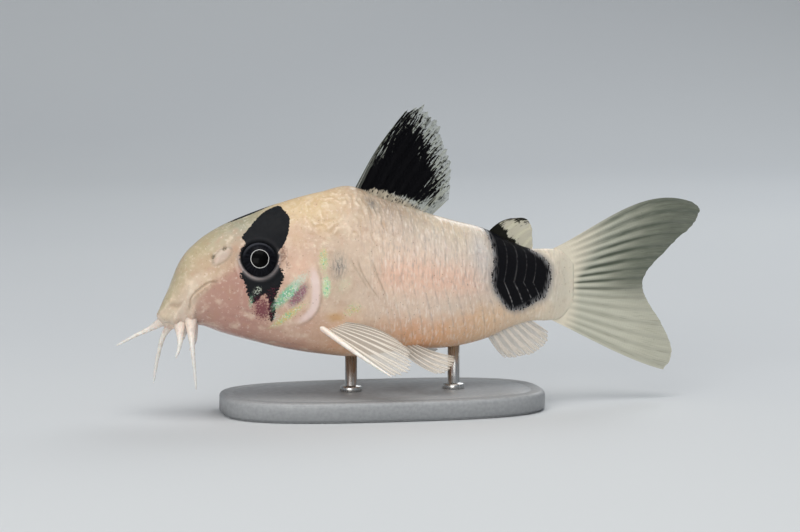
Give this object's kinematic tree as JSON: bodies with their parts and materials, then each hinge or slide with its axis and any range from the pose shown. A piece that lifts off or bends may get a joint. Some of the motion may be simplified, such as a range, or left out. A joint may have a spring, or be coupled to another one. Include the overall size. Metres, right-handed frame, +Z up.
{
  "type": "corydoras catfish",
  "caption": "Life-size still model of a panda corydoras catfish with its barbels and fins spread, held over a flat plinth by short rods.",
  "frame": {"origin": "middle of the plinth's flat underside, under the middle of the fish", "axes": "+X from the fish's head to its tail, +Y to the fish's right, +Z up"},
  "size_m": [0.0605, 0.0186, 0.0306],
  "materials": {
    "skin": "wet pearly skin, cream and pink with black patches",
    "eye": "polished black with a thin silver ring",
    "barbel": "milky, slightly see-through",
    "fin": "see-through web with pale rays",
    "dark_fin": "black web fading to a clear edge",
    "plinth": "satin grey paint",
    "rod": "drawn steel"
  },
  "bodies": {
    "root": {"head": "skin", "gill_cover_left": "skin", "gill_cover_right": "skin", "torso": "skin", "tail": "skin", "eye_left": "eye", "eye_right": "eye", "barbel_outer_left": "barbel", "barbel_outer_right": "barbel", "barbel_inner_left": "barbel", "barbel_inner_right": "barbel", "barbel_chin_left": "barbel", "barbel_chin_right": "barbel", "dorsal_fin": "dark_fin", "adipose_fin": "fin", "anal_fin": "fin", "tail_fin": "fin", "pectoral_fin_left": "fin", "pectoral_fin_right": "fin", "pelvic_fin_left": "fin", "pelvic_fin_right": "fin", "stand_plinth": "plinth", "stand_rod_front": "rod", "stand_rod_rear": "rod"}
  },
  "joints": []
}
